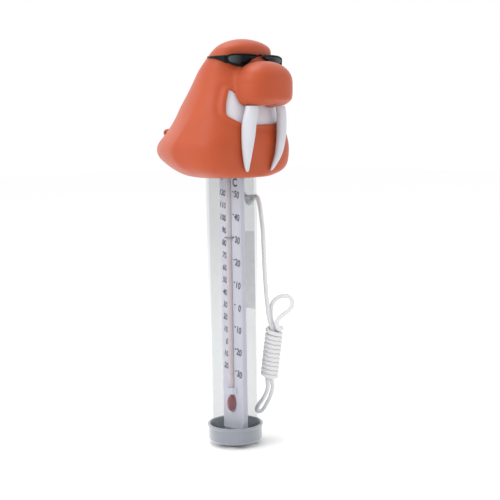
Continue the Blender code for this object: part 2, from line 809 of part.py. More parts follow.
def neck_saddle(parts, surface):
    """A moulded strap over the glass just above the bulb."""
    foot, thick, half = PLATE_FACE + GAP, 0.7, 4.2
    inner, outer = STEM_R + GAP, STEM_R + GAP + 0.9
    low = math.degrees(math.asin((STEM_N - foot) / inner))
    rise = math.degrees(math.asin((foot + thick - STEM_N) / outer))
    outline = [(-half, foot), (-half, foot + thick)]
    for k in range(13):
        a = math.radians(180.0 - rise - (180.0 - 2 * rise) * k / 12)
        outline.append((outer * math.cos(a), STEM_N + outer * math.sin(a)))
    outline += [(half, foot + thick), (half, foot)]
    for k in range(13):
        a = math.radians((180.0 + 2 * low) * k / 12 - low)
        outline.append((inner * math.cos(a), STEM_N + inner * math.sin(a)))
    rings = [[plate_point(a, n, z) for a, n in outline] for z in SADDLE_Z]
    return dress(loft("neck_saddle", rings, parts), surface)


def rear_label(parts, surface):
    """A thin sticker on the outside of the tube, behind the scale plate."""
    profile = [(TUBE_R + GAP, LABEL_Z[1]), (TUBE_R + GAP, LABEL_Z[0])]
    label = turned("rear_label", profile, parts, steps=20, sweep=LABEL_ARC)
    label.rotation_euler = (0.0, 0.0, LABEL_MIDDLE - LABEL_ARC / 2)
    skin = label.modifiers.new("thickness", "SOLIDIFY")
    skin.thickness = 0.15 * MM
    skin.offset = 1.0
    return dress(label, surface)


# --- the tether -------------------------------------------------------------------


def tether(parts, surface):
    loop = tether_loop_points()
    dress(wire("tether_loop", smooth_line(loop, 5.0 * MM), CORD_R, parts), surface)
    knot(parts, surface)
    for name, route in (
        ("tether_cord", STANDING), ("tether_top_bight", TOP_BIGHT), ("tether_bottom_bight", BOTTOM_BIGHT),
    ):
        points = smooth_line([cord_point(p) for p in route], 3.6 * MM)
        dress(wire(name, points, CORD_R, parts), surface)
    hank(parts, surface)


def tether_loop_points():
    """Up from the knot, round the tube under the head's skirt and down again."""
    up = [(5.2, 20.2, 138.9), (4.4, 20.4, 139.6), (2.6, 19.4, 142.6), (1.0, 18.2, 145.6), (-0.6, 17.2, 148.0),
          (-2.6, 16.1, 150.2), (-4.6, 15.5, 151.8)]
    down = [(9.2, 13.5, 151.8), (7.4, 14.7, 150.4), (5.8, 16.4, 148.2), (5.0, 17.9, 145.8), (5.3, 18.9, 143.4),
            (6.2, 19.1, 141.6)]
    ring = []
    for k in range(21):
        a = math.radians(115.0 + 290.0 * k / 20)
        ring.append((LOOP_R * math.cos(a), LOOP_R * math.sin(a), LOOP_Z))
    return [cord_point(p) for p in (*up, *ring, *down)]


def knot(parts, surface):
    bm = bmesh.new()
    bmesh.ops.create_uvsphere(bm, u_segments=16, v_segments=10, radius=1.0)
    bmesh.ops.scale(bm, vec=(4.0 * MM, 3.4 * MM, 3.2 * MM), verts=bm.verts)
    turn = Matrix.Rotation(CORD_SIDE, 3, "Z")
    bmesh.ops.rotate(bm, matrix=turn, verts=bm.verts)
    bmesh.ops.translate(bm, vec=cord_point(KNOT), verts=bm.verts)
    return dress(mesh_object("tether_knot", bm, parts), surface)


def hank(parts, surface):
    """The wound hank's outer shape: a round bar with rounded ends, a little tilted."""
    top, bottom = cord_point(HANK_TOP), cord_point(HANK_BOTTOM)
    long = (top - bottom).length / MM
    profile = [
        (0.0, long), (HANK_R - 1.6, long), (HANK_R - 0.4, long - 0.5), (HANK_R, long - 1.6),
        (HANK_R, 1.6), (HANK_R - 0.4, 0.5), (HANK_R - 1.6, 0.0), (0.0, 0.0),
    ]
    made = turned("tether_hank", profile, parts, steps=24)
    made.rotation_mode = "QUATERNION"
    made.rotation_quaternion = (top - bottom).to_track_quat("Z", "Y")
    made.location = bottom
    return dress(made, surface)


def build():
    clear_scene()
    parts = make_collection("pool_thermometer")
    cutters = make_collection("cutters")
    vinyl = material("orange_vinyl", (0.62, 0.15, 0.075), 0.5)
    ivory = material("white_paint", (0.80, 0.78, 0.84), 0.4)
    frame_black = material("black_gloss", (0.012, 0.012, 0.014), 0.2)
    lens_black = material("lens_gloss", (0.02, 0.03, 0.03), 0.1)
    collar_plastic = material("collar_plastic", (0.75, 0.75, 0.75), 0.45)
    seal_rubber = material("seal_rubber", (0.02, 0.02, 0.02), 0.6)
    tube_clear = material("clear_plastic", (0.9, 0.93, 0.95), 0.06, alpha=0.25)
    cap_grey = material("grey_plastic", (0.30, 0.32, 0.37), 0.4)
    plate_white = material("plate_white", (0.72, 0.71, 0.80), 0.45)
    glass = material("clear_glass", (0.85, 0.86, 0.88), 0.05, alpha=0.35)
    spirit = material("red_spirit", (0.75, 0.03, 0.08), 0.2)
    wire_steel = material("clip_steel", (0.20, 0.19, 0.20), 0.35, metallic=1.0)
    label_grey = material("label_grey", (0.45, 0.45, 0.46), 0.6)
    cord_white = material("cord_white", (0.70, 0.70, 0.71), 0.8)

    head_shell(parts, cutters, vinyl)
    tusks(parts, ivory)
    mouth_plate(parts, cutters, ivory)
    sunglasses(parts, cutters, frame_black, lens_black)
    neck_collar(parts, collar_plastic)
    seal_ring(parts, seal_rubber)
    clear_tube(parts, tube_clear)
    top_plug(parts, collar_plastic)
    end_cap(parts, cutters, cap_grey)
    scale_plate(parts, cutters, plate_white)
    glass_stem(parts, glass)
    stem_tip(parts, glass)
    bulb(parts, spirit)
    spirit_column(parts, spirit)
    clip("upper_clip", CLIP_Z, parts, wire_steel)
    neck_saddle(parts, plate_white)
    rear_label(parts, label_grey)
    tether(parts, cord_white)
    stand_on_foot(parts, cutters)


def stand_on_foot(*groups):
    """Raises everything from the datum so that the foot's face is at z = 0."""
    for group in groups:
        for obj in group.objects:
            obj.location.z += DATUM * MM


build()
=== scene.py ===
"""The looks of the floating pool thermometer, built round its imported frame.

Lengths are in millimetres unless a name says otherwise. The walrus faces -Y and +Z is up.
Heights in the tables are measured from a datum a little above the floor, as in the part.
"""
import math

import bmesh
import bpy
import numpy as np
from mathutils import Matrix, Vector
from mathutils.bvhtree import BVHTree


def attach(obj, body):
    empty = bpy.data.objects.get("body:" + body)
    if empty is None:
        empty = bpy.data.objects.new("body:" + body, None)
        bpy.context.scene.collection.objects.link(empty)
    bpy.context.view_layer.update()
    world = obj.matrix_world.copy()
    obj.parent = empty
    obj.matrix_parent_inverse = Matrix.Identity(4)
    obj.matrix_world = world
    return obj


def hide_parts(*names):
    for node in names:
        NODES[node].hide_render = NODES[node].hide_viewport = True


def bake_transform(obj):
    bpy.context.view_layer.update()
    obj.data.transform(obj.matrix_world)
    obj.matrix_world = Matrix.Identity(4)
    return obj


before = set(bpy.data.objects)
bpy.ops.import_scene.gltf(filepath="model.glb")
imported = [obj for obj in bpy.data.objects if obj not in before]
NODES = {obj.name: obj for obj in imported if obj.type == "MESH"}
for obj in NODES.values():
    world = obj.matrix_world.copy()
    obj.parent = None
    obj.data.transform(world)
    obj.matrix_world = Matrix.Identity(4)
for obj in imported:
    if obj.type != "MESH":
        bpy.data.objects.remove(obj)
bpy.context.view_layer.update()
MM = 0.001

VIEW = math.radians(44.0)  # the camera stands this far round to the walrus's right
TO_CAMERA = Vector((-math.sin(VIEW), -math.cos(VIEW), 0.0))
IMAGE_RIGHT = Vector((math.cos(VIEW), -math.sin(VIEW), 0.0))

# --- the parts' own measures ------------------------------------------------

DATUM = 3.9
TUBE_R = 14.4
PLATE_TURN = math.radians(96.0)
PLATE_HALF = 9.3
PLATE_FACE = 1.6
PLATE_BACK = -2.0
PLATE_Z = (4.1, 161.0)
STEM_N = 2.3
STEM_BOTTOM = 25.0
SPIRIT_TOP = 106.0
CELSIUS_ZERO_Z = 76.4
MM_PER_CELSIUS = 1.293
PRINT_SLANT = -12.0  # degrees
INK = 0.04

# Sections of the head: height, back, front, half width, squareness of the front, taper of the back.
HEAD_SECTIONS = (
    (151.0, -20.5, 20.5, 20.0, 2.0, 0.00),
    (152.0, -25.5, 21.2, 24.5, 2.4, 0.00),
    (154.0, -32.0, 21.6, 29.4, 3.2, 0.10),
    (156.5, -39.5, 21.8, 32.4, 3.8, 0.20),
    (159.0, -46.5, 22.0, 33.8, 4.1, 0.28),
    (162.0, -53.0, 22.4, 34.5, 4.2, 0.33),
    (166.0, -56.0, 23.0, 34.8, 4.1, 0.35),
    (170.0, -54.5, 23.6, 34.4, 3.8, 0.35),
    (173.5, -50.5, 24.0, 33.2, 3.5, 0.35),
    (177.0, -46.2, 24.2, 31.6, 3.2, 0.33),
    (184.0, -38.8, 24.4, 28.8, 2.8, 0.26),
    (191.0, -33.0, 24.4, 26.8, 2.5, 0.20),
    (198.0, -26.2, 24.0, 25.0, 2.3, 0.14),
    (204.5, -20.2, 23.2, 23.5, 2.2, 0.08),
    (210.0, -15.4, 22.0, 22.2, 2.2, 0.04),
    (214.5, -10.6, 21.5, 20.8, 2.2, 0.02),
    (218.4, -7.0, 22.2, 19.0, 2.2, 0.00),
    (221.8, -3.4, 22.6, 17.2, 2.2, 0.00),
    (224.2, -0.4, 21.0, 13.8, 2.0, 0.00),
    (226.0, 3.2, 17.5, 8.6, 2.0, 0.00),
    (227.0, 7.0, 13.5, 3.6, 2.0, 0.00),
)
WIDEST = 0.42  # how far back from its front the head is widest, as a share of its depth
MUZZLE_CENTRE = (27.2, 202.8)  # forward, up
MUZZLE_RADII = (12.8, 16.4)  # forward, sideways
MUZZLE_RISE, MUZZLE_DROP = 11.5, 12.9
MUZZLE_PLAN, MUZZLE_UPPER, MUZZLE_LOWER = 2.45, 2.1, 5.2

# Centreline of each tusk: height, forward, sideways, thickness across, thickness along.
TUSK = (
    (190.2, 28.4, 11.0, 7.1, 5.4),
    (188.5, 28.7, 11.3, 7.4, 5.5),
    (184.5, 28.4, 12.1, 7.9, 5.6),
    (180.0, 27.8, 12.7, 8.0, 5.6),
    (174.0, 27.3, 12.9, 7.5, 5.4),
    (168.0, 26.4, 12.7, 6.3, 5.0),
    (163.0, 25.4, 12.1, 4.9, 4.2),
    (158.5, 23.9, 10.9, 3.4, 3.0),
    (155.6, 22.9, 9.8, 2.1, 2.0),
    (154.6, 22.5, 9.3, 1.0, 1.0),
)
TUSK_LEAN = math.radians(42.0)

# Outline of the mouth's right half: sideways, height.
MOUTH = (
    (0.0, 180.0), (8.0, 180.1), (13.6, 180.8), (17.6, 182.7), (20.9, 184.9), (21.3, 186.2),
    (20.7, 190.5), (19.4, 195.5), (18.1, 199.8), (14.8, 196.4), (12.0, 194.4), (0.0, 194.4),
)
# One lens, measured outward from its nose corner and up from its middle.
LENS_OUTLINE = (
    (0.0, 2.6), (1.2, 3.3), (6.0, 3.6), (12.0, 3.6), (17.0, 3.3), (19.9, 2.2), (20.3, 0.4),
    (19.2, -1.4), (16.4, -2.5), (13.0, -3.3), (10.0, -3.2), (7.2, -1.9), (4.2, 0.5), (1.6, 1.7),
)
LENS_INNER = (1.6, 24.2)
LENS_OUTER = (22.0, 19.8)
LENS_Z = 214.6
ARM_END = 3.0
LUG_CENTRE = (-54.0, 176.0)
LUG_R = 2.15

# The tether, as one cord: sideways in the view from the front, behind the tube, and up.
CORD_R = 1.25
LOOP_R = 16.25
LOOP_Z = 152.6
KNOT = (10.4, 16.6, 136.8)
STANDING = (
    (14.0, 14.5, 138.7), (15.4, 12.4, 137.4), (16.3, 10.4, 133.6), (17.1, 7.6, 127.0), (17.8, 5.0, 119.0),
    (18.1, 3.6, 108.0), (18.4, 2.6, 97.0), (18.9, 1.8, 87.0), (19.6, 1.2, 77.0), (20.5, 0.8, 69.0),
)
HANK_TOP = (23.7, 1.0, 62.8)
HANK_BOTTOM = (20.1, 3.4, 32.6)
WRAP_R = 4.1
CORE_R = 1.44
WRAP_PITCH = 2.56
WRAP_TURNS = 11.5
WRAP_START = -50.0  # degrees round the hank from its right-hand side
TOP_BIGHT = (
    (21.9, 4.2, 68.0), (21.9, 4.1, 74.6), (23.6, 3.6, 78.6), (26.7, 2.6, 81.0), (29.7, 1.6, 81.8),
    (32.3, 0.6, 81.1), (33.9, 0.0, 78.9), (33.8, -0.4, 76.4), (32.0, -0.8, 73.8), (29.0, -1.5, 71.6),
    (26.4, -2.3, 69.6), (24.8, -2.9, 67.2),
)
BOTTOM_BIGHT = (
    (19.3, 5.2, 27.4), (18.5, 6.0, 23.8), (16.6, 7.8, 19.6), (14.6, 9.4, 16.4), (13.2, 10.5, 13.9),
    (12.9, 11.4, 12.1), (13.8, 12.1, 10.9), (15.4, 12.3, 10.9), (17.0, 11.7, 12.6), (18.6, 10.2, 15.7),
    (20.3, 8.4, 19.6), (21.7, 6.7, 23.8), (22.3, 5.3, 27.8),
)


def head_point(forward, right, up):
    return Vector((-right, -forward, up + DATUM)) * MM


def plate_point(along, out, up):
    normal = Vector((-math.sin(PLATE_TURN), -math.cos(PLATE_TURN), 0.0))
    width = Vector((-normal.y, normal.x, 0.0))
    return (width * along + normal * out + Vector((0.0, 0.0, up + DATUM))) * MM


def cord_point(point):
    aside, behind, up = point
    return (IMAGE_RIGHT * aside - TO_CAMERA * behind + Vector((0.0, 0.0, up + DATUM))) * MM


# --- camera and light --------------------------------------------------------


def make_camera():
    camera = bpy.data.objects.new("camera", bpy.data.cameras.new("camera"))
    bpy.context.scene.collection.objects.link(camera)
    camera.data.lens = 76.0
    camera.data.sensor_width = 36.0
    camera.data.clip_start = 0.01
    camera.location = TO_CAMERA * 0.6 + Vector((0.0, 0.0, 0.1839))
    aim = IMAGE_RIGHT * 0.0101 + Vector((0.0, 0.0, 0.1128))
    turn = (aim - camera.location).to_track_quat("-Z", "Y").to_matrix()
    roll = Matrix.Rotation(math.radians(-0.88), 3, "Z")
    camera.rotation_euler = (turn @ roll).to_euler()
    bpy.context.scene.camera = camera


def area_light(name, place, target, size, watts):
    light = bpy.data.objects.new(name, bpy.data.lights.new(name, "AREA"))
    light.data.shape = "DISK"
    light.data.size = size
    light.data.energy = watts
    light.location = place
    light.rotation_euler = (Vector(target) - Vector(place)).to_track_quat("-Z", "Y").to_euler()
    bpy.context.scene.collection.objects.link(light)


def make_studio():
    world = bpy.data.worlds.new("studio")
    world.use_nodes = True
    world.node_tree.nodes["Background"].inputs["Color"].default_value = (1.0, 1.0, 1.0, 1.0)
    world.node_tree.nodes["Background"].inputs["Strength"].default_value = 1.0
    bpy.context.scene.world = world
    bpy.context.scene.view_settings.view_transform = "Standard"
    high = Vector((0.0, 0.0, 1.0))
    middle = (0.0, 0.0, 0.13)
    area_light("key", TO_CAMERA * 0.5 - IMAGE_RIGHT * 0.8 + high * 0.7, middle, 0.5, 3.2)
    area_light("top", -TO_CAMERA * 0.1 - IMAGE_RIGHT * 0.2 + high * 0.95, middle, 0.6, 3.0)

    bpy.ops.mesh.primitive_plane_add(size=6.0, location=(0.0, 0.0, -0.0001))
    floor = bpy.context.object
    floor.name = "studio_floor"
    pale = bpy.data.materials.new("studio_white")
    pale.use_nodes = True
    shader = pale.node_tree.nodes["Principled BSDF"]
    shader.inputs["Base Color"].default_value = (0.985, 0.985, 0.985, 1.0)
    shader.inputs["Roughness"].default_value = 1.0
    shader.inputs["Specular IOR Level"].default_value = 0.0
    floor.data.materials.append(pale)


# --- materials -----------------------------------------------------------------


class Surface:
    """A Principled material with helpers that add its procedural detail."""

    def __init__(self, name, colour, roughness, **values):
        self.material = bpy.data.materials.new(name)
        self.material.use_nodes = True
        self.tree = self.material.node_tree
        self.shader = self.tree.nodes["Principled BSDF"]
        self.colour = (*colour, 1.0)
        self.shader.inputs["Base Color"].default_value = self.colour
        self.shader.inputs["Roughness"].default_value = roughness
        for socket, value in values.items():
            self.shader.inputs[socket.replace("_", " ")].default_value = value
        self.place = self.node("ShaderNodeTexCoord").outputs["Object"]

    def node(self, kind, **settings):
        made = self.tree.nodes.new(kind)
        for name, value in settings.items():
            setattr(made, name, value)
        return made

    def link(self, output, socket):
        self.tree.links.new(output, socket)

    def math(self, operation, first, second=None):
        made = self.node("ShaderNodeMath", operation=operation)
        for socket, value in zip(made.inputs, (first, second)):
            if isinstance(value, (int, float)):
                socket.default_value = value
            elif value is not None:
                self.link(value, socket)
        return made.outputs[0]

    def noise(self, scale, detail=3.0, stretch=None):
        texture = self.node("ShaderNodeTexNoise")
        texture.inputs["Scale"].default_value = scale
        texture.inputs["Detail"].default_value = detail
        source = self.place
        if stretch:
            mapping = self.node("ShaderNodeMapping")
            mapping.inputs["Scale"].default_value = stretch
            self.link(source, mapping.inputs["Vector"])
            source = mapping.outputs["Vector"]
        self.link(source, texture.inputs["Vector"])
        return texture.outputs["Fac"]

    def tint(self, fac, darker, lighter, low=0.3, high=0.7):
        """Base colour that runs from one colour to the other with fac."""
        ramp = self.node("ShaderNodeValToRGB")
        ramp.color_ramp.elements[0].position = low
        ramp.color_ramp.elements[0].color = (*darker, 1.0)
        ramp.color_ramp.elements[1].position = high
        ramp.color_ramp.elements[1].color = (*lighter, 1.0)
        self.link(fac, ramp.inputs["Fac"])
        self.link(ramp.outputs["Color"], self.shader.inputs["Base Color"])
        return self

    def rough(self, fac, low, high):
        scale = self.node("ShaderNodeMapRange")
        scale.inputs["To Min"].default_value = low
        scale.inputs["To Max"].default_value = high
        self.link(fac, scale.inputs["Value"])
        self.link(scale.outputs["Result"], self.shader.inputs["Roughness"])
        return self

    def bump(self, height, strength, distance):
        made = self.node("ShaderNodeBump")
        made.inputs["Strength"].default_value = strength
        made.inputs["Distance"].default_value = distance * MM
        self.link(height, made.inputs["Height"])
        self.link(made.outputs["Normal"], self.shader.inputs["Normal"])
        return self


def vinyl_surface():
    made = Surface(
        "orange_vinyl", (0.43, 0.062, 0.012), 0.5,
        Subsurface_Weight=0.04, Sheen_Weight=0.14, Specular_IOR_Level=0.4,
    )
    made.shader.inputs["Subsurface Radius"].default_value = (0.006, 0.002, 0.001)
    made.shader.inputs["Sheen Roughness"].default_value = 0.45
    made.tint(made.noise(38.0, 2.0), (0.405, 0.056, 0.010), (0.450, 0.067, 0.014))
    made.rough(made.noise(160.0), 0.44, 0.56)
    return made.bump(made.noise(900.0, 4.0), 0.25, 0.08)


def paint_surface(name, colour):
    """Satin white paint, a little streaky along the tusks and teeth."""
    made = Surface(name, colour, 0.36, Coat_Weight=0.15)
    dark, light = (tuple(c * share for c in colour) for share in (0.93, 1.07))
    made.tint(made.noise(120.0, 3.0, (1.0, 1.0, 0.25)), dark, light)
    made.rough(made.noise(300.0), 0.30, 0.44)
    return made.bump(made.noise(500.0, 4.0, (1.0, 1.0, 0.2)), 0.2, 0.06)


def gloss_black(name, colour, roughness):
    made = Surface(name, colour, roughness, Specular_IOR_Level=0.12)
    made.rough(made.noise(400.0), roughness * 0.8, roughness * 1.4)
    return made.bump(made.noise(900.0, 3.0), 0.08, 0.03)


def lens_surface():
    """Smoked plastic: nearly black, with a painted reflection: a green-grey glint painted paler towards the
    outer end of each lens.
    """
    made = Surface("lens_gloss", (0.004, 0.005, 0.009), 0.08, Specular_IOR_Level=0.12)
    split = made.node("ShaderNodeSeparateXYZ")
    made.link(made.place, split.inputs[0])
    # Painted reflection: the colour runs paler green-grey out towards each lens's outer end, standing in for
    # the glint.
    painted_glint_fade = made.node("ShaderNodeMapRange")
    painted_glint_fade.inputs["From Min"].default_value = 11.0 * MM
    painted_glint_fade.inputs["From Max"].default_value = 21.0 * MM
    made.link(made.math("ABSOLUTE", split.outputs["X"]), painted_glint_fade.inputs["Value"])
    return made.tint(painted_glint_fade.outputs["Result"], (0.003, 0.004, 0.008), (0.085, 0.105, 0.105), 0.1, 1.0)


def moulded(name, colour, roughness, shade=0.06, grain=0.10, **values):
    """Satin injection-moulded plastic with a fine grain."""
    made = Surface(name, colour, roughness, **values)
    dark = tuple(c * (1 - shade) for c in colour)
    light = tuple(min(c * (1 + shade), 1.0) for c in colour)
    made.tint(made.noise(70.0), dark, light)
    made.rough(made.noise(350.0), roughness - 0.06, roughness + 0.08)
    return made.bump(made.noise(1600.0, 3.0), grain, 0.05)


def clear_surface(name, colour, alpha, edge_alpha, roughness=0.04):
    """Clear plastic or glass that grows denser where it is seen edge on."""
    made = Surface(name, colour, roughness)
    facing = made.node("ShaderNodeLayerWeight")
    facing.inputs["Blend"].default_value = 0.35
    dense = made.node("ShaderNodeMapRange")
    dense.inputs["To Min"].default_value = alpha
    dense.inputs["To Max"].default_value = edge_alpha
    made.link(made.math("POWER", facing.outputs["Facing"], 1.6), dense.inputs["Value"])
    made.link(dense.outputs["Result"], made.shader.inputs["Alpha"])
    made.rough(made.noise(90.0, 3.0, (1.0, 1.0, 0.2)), roughness, roughness + 0.06)
    return made


def cord_surface():
    """A diamond braid, laid out along the cord's own length and round it."""
    made = Surface("cord_white", (0.68, 0.68, 0.69), 0.8, Sheen_Weight=0.2, Subsurface_Weight=0.3)
    made.shader.inputs["Subsurface Radius"].default_value = (0.0012, 0.0012, 0.0012)
    made.shader.inputs["Sheen Roughness"].default_value = 0.5
    split = made.node("ShaderNodeSeparateXYZ")
    made.link(made.node("ShaderNodeUVMap", uv_map="along").outputs["UV"], split.inputs[0])
    strands = []
    for sense in (1.0, -1.0):
        turn = made.math("MULTIPLY", split.outputs["Y"], 4.0 * sense)
        phase = made.math("MULTIPLY", made.math("ADD", split.outputs["X"], turn), math.pi)
        strands.append(made.math("ABSOLUTE", made.math("SINE", phase)))
    weave = made.math("MAXIMUM", strands[0], strands[1])
    made.tint(weave, (0.62, 0.62, 0.63), (0.74, 0.74, 0.75), 0.3, 0.95)
    return made.bump(weave, 0.45, 0.2)


def label_surface():
    """A thin grey film with faint lines across it."""
    made = Surface("label_grey", (0.88, 0.88, 0.89), 0.5, Alpha=0.22)
    split = made.node("ShaderNodeSeparateXYZ")
    made.link(made.place, split.inputs[0])
    lines = made.math("SINE", made.math("MULTIPLY", split.outputs["Z"], 2 * math.pi / (1.25 * MM)))
    level = made.math("ADD", made.math("MULTIPLY", lines, 0.25), made.noise(180.0))
    made.tint(level, (0.78, 0.78, 0.79), (0.96, 0.96, 0.97), 0.25, 0.85)
    return made.bump(level, 0.2, 0.04)


def bulb_surface():
    """Red spirit in a small glass bulb, with a painted reflection: paler where the glass is seen edge on."""
    made = Surface("red_spirit", (0.32, 0.008, 0.02), 0.08)
    facing = made.node("ShaderNodeLayerWeight")
    facing.inputs["Blend"].default_value = 0.45
    # The facing ramp paints the glass's edge reflection into the colour; the speckle is random tone.
    speckle = made.math("MULTIPLY", made.noise(260.0), 0.3)
    edge_reflection_and_speckle = made.math("ADD", facing.outputs["Facing"], speckle)
    return made.tint(edge_reflection_and_speckle, (0.24, 0.006, 0.014), (0.78, 0.32, 0.35), 0.32, 1.0)


def steel_surface():
    made = Surface("clip_steel", (0.30, 0.29, 0.30), 0.35, Metallic=1.0)
    made.tint(made.noise(500.0), (0.24, 0.23, 0.24), (0.36, 0.35, 0.36))
    return made.bump(made.noise(900.0, 2.0, (0.2, 1.0, 1.0)), 0.2, 0.03)


MATERIALS = {}


def make_materials():
    MATERIALS.update(
        vinyl=vinyl_surface(),
        paint=paint_surface("white_paint", (0.66, 0.64, 0.69)),
        # The tusks' paint is the teeth's white made darker, as painted shade, since the tusks catch more of
        # the lamps.
        tusk=paint_surface("tusk_paint_painted_shade", (0.56, 0.565, 0.61)),
        black=gloss_black("black_gloss", (0.004, 0.005, 0.005), 0.16),
        lens=lens_surface(),
        collar=moulded("collar_plastic", (0.75, 0.75, 0.75), 0.45),
        seal=moulded("seal_rubber", (0.02, 0.02, 0.02), 0.6),
        tube=clear_surface("clear_plastic", (0.17, 0.21, 0.23), 0.15, 0.21),
        cap=moulded(
            "grey_plastic", (0.225, 0.245, 0.285), 0.34,
            Sheen_Weight=0.7, Sheen_Roughness=0.5, Coat_Weight=0.5,
        ),
        plate=moulded("plate_white", (0.76, 0.75, 0.85), 0.42, 0.03),
        ink=moulded("scale_ink", (0.012, 0.012, 0.03), 0.6, 0.25),
        glass=clear_surface("clear_glass", (1.0, 0.94, 0.96), 0.42, 0.60, 0.03),
        bulb=bulb_surface(),
        thread=clear_surface("red_thread", (0.86, 0.06, 0.10), 1.0, 1.0, 0.1),
        haze=clear_surface("red_haze", (0.98, 0.34, 0.40), 0.9, 0.95, 0.1),
        steel=steel_surface(),
        label=label_surface(),
        cord=cord_surface(),
    )


def dress(obj, key, sharp=35.0):
    obj.data.materials.clear()
    obj.data.materials.append(MATERIALS[key].material)
    obj.data.shade_smooth()
    if sharp is not None:
        obj.data.set_sharp_from_angle(angle=math.radians(sharp))
    return obj


# --- mesh helpers ------------------------------------------------------------------


def link(obj):
    bpy.context.scene.collection.objects.link(obj)
    return obj


def mesh_object(name, bm):
    mesh = bpy.data.meshes.new(name)
    bm.to_mesh(mesh)
    bm.free()
    return link(bpy.data.objects.new(name, mesh))


def loft(name, rings):
    """A closed skin over rings with the same number of points each."""
    bm = bmesh.new()
    rows = [[bm.verts.new(point) for point in ring] for ring in rings]
    for low, high in zip(rows, rows[1:]):
        for i in range(len(low)):
            j = (i + 1) % len(low)
            bm.faces.new((low[i], low[j], high[j], high[i]))
    bm.faces.new(list(reversed(rows[0])))
    bm.faces.new(rows[-1])
    bmesh.ops.recalc_face_normals(bm, faces=bm.faces)
    return mesh_object(name, bm)


def turned(name, profile, steps=96, closed=True):
    """A profile of (radius, height) points, listed round its outline, turned about Z."""
    bm = bmesh.new()
    rows = []
    for k in range(steps):
        a = 2 * math.pi * k / steps
        around = [Vector((r * math.cos(a), r * math.sin(a), z)) * MM for r, z in profile]
        rows.append([bm.verts.new(point) for point in around])
    last = len(profile) if closed else len(profile) - 1
    for k in range(steps):
        here, there = rows[k], rows[(k + 1) % steps]
        for i in range(last):
            j = (i + 1) % len(profile)
            bm.faces.new((here[i], there[i], there[j], here[j]))
    bmesh.ops.remove_doubles(bm, verts=bm.verts, dist=0.00001)
    bmesh.ops.recalc_face_normals(bm, faces=bm.faces)
    return mesh_object(name, bm)


def applied(obj):
    """The object with its modifiers made into its mesh."""
    bpy.context.view_layer.update()
    mesh = bpy.data.meshes.new_from_object(obj.evaluated_get(bpy.context.evaluated_depsgraph_get()))
    obj.modifiers.clear()
    obj.data = mesh
    obj.data.transform(obj.matrix_world)
    obj.matrix_world = Matrix.Identity(4)
    return obj


def cut(obj, tools, operation="DIFFERENCE"):
    """Boolean with each tool in turn; the tools are used up."""
    for tool in tools:
        step = obj.modifiers.new("cut", "BOOLEAN")
        step.operation = operation
        step.solver = "EXACT"
        step.object = tool
    applied(obj)
    for tool in tools:
        bpy.data.objects.remove(tool)
    return obj


def smooth_line(points, spacing):
    """Points spaced evenly along the smooth curve through a route's own points."""
    ends = [points[0] * 2 - points[1], *points, points[-1] * 2 - points[-2]]
    fine = []
    for i in range(1, len(ends) - 2):
        a, b, c, d = ends[i - 1 : i + 3]
        for k in range(16):
            t = k / 16
            fine.append(0.5 * (2 * b + (c - a) * t + (2 * a - 5 * b + 4 * c - d) * t**2
                               + (3 * b - a - 3 * c + d) * t**3))
    fine.append(points[-1])
    total = sum((q - p).length for p, q in zip(fine, fine[1:]))
    count = max(3, round(total / spacing))
    line, walked = [fine[0]], 0.0
    for p, q in zip(fine, fine[1:]):
        step = (q - p).length
        while len(line) < count and walked + step >= total * len(line) / count:
            line.append(p.lerp(q, (total * len(line) / count - walked) / step))
        walked += step
    line.append(fine[-1])
    return line


def swept(name, line, radius, sides=12):
    """A round tube along a line, with a UV map of its length in diameters and of its angle."""
    last = len(line) - 1
    tangents = [(line[min(i + 1, last)] - line[max(i - 1, 0)]).normalized() for i in range(last + 1)]
    across = tangents[0].orthogonal().normalized()
    bm = bmesh.new()
    layer = bm.loops.layers.uv.new("along")
    rows, lengths, walked = [], [], 0.0
    for i, (point, tangent) in enumerate(zip(line, tangents)):
        across = (across - tangent * across.dot(tangent)).normalized()
        other = tangent.cross(across)
        walked += (point - line[i - 1]).length if i else 0.0
        lengths.append(walked / (2 * radius * MM))
        row = []
        for k in range(sides):
            a = 2 * math.pi * k / sides
            row.append(bm.verts.new(point + (across * math.cos(a) + other * math.sin(a)) * radius * MM))
        rows.append(row)
    for i in range(len(rows) - 1):
        for k in range(sides):
            j = (k + 1) % sides
            face = bm.faces.new((rows[i][k], rows[i][j], rows[i + 1][j], rows[i + 1][k]))
            corners = ((i, k), (i, k + 1), (i + 1, k + 1), (i + 1, k))
            for loop, (row, column) in zip(face.loops, corners):
                loop[layer].uv = (lengths[row], column / sides)
    bm.faces.new(list(reversed(rows[0])))
    bm.faces.new(rows[-1])
    return mesh_object(name, bm)


# --- the cord ------------------------------------------------------------------------


def hank_frame():
    top, bottom = Vector(HANK_TOP), Vector(HANK_BOTTOM)
    down = (bottom - top).normalized()
    right = (Vector((1.0, 0.0, 0.0)) - down * down.x).normalized()
    behind = down.cross(right)
    if behind.y < 0:
        behind = -behind
    return top, down, right, behind, (bottom - top).length


def in_hank(degrees, radius, depth):
    """A point of the hank: its angle from the right towards the back, its radius and depth from the top."""
    top, down, right, behind, _ = hank_frame()
    a = math.radians(degrees)
    return top + down * depth + (right * math.cos(a) + behind * math.sin(a)) * radius


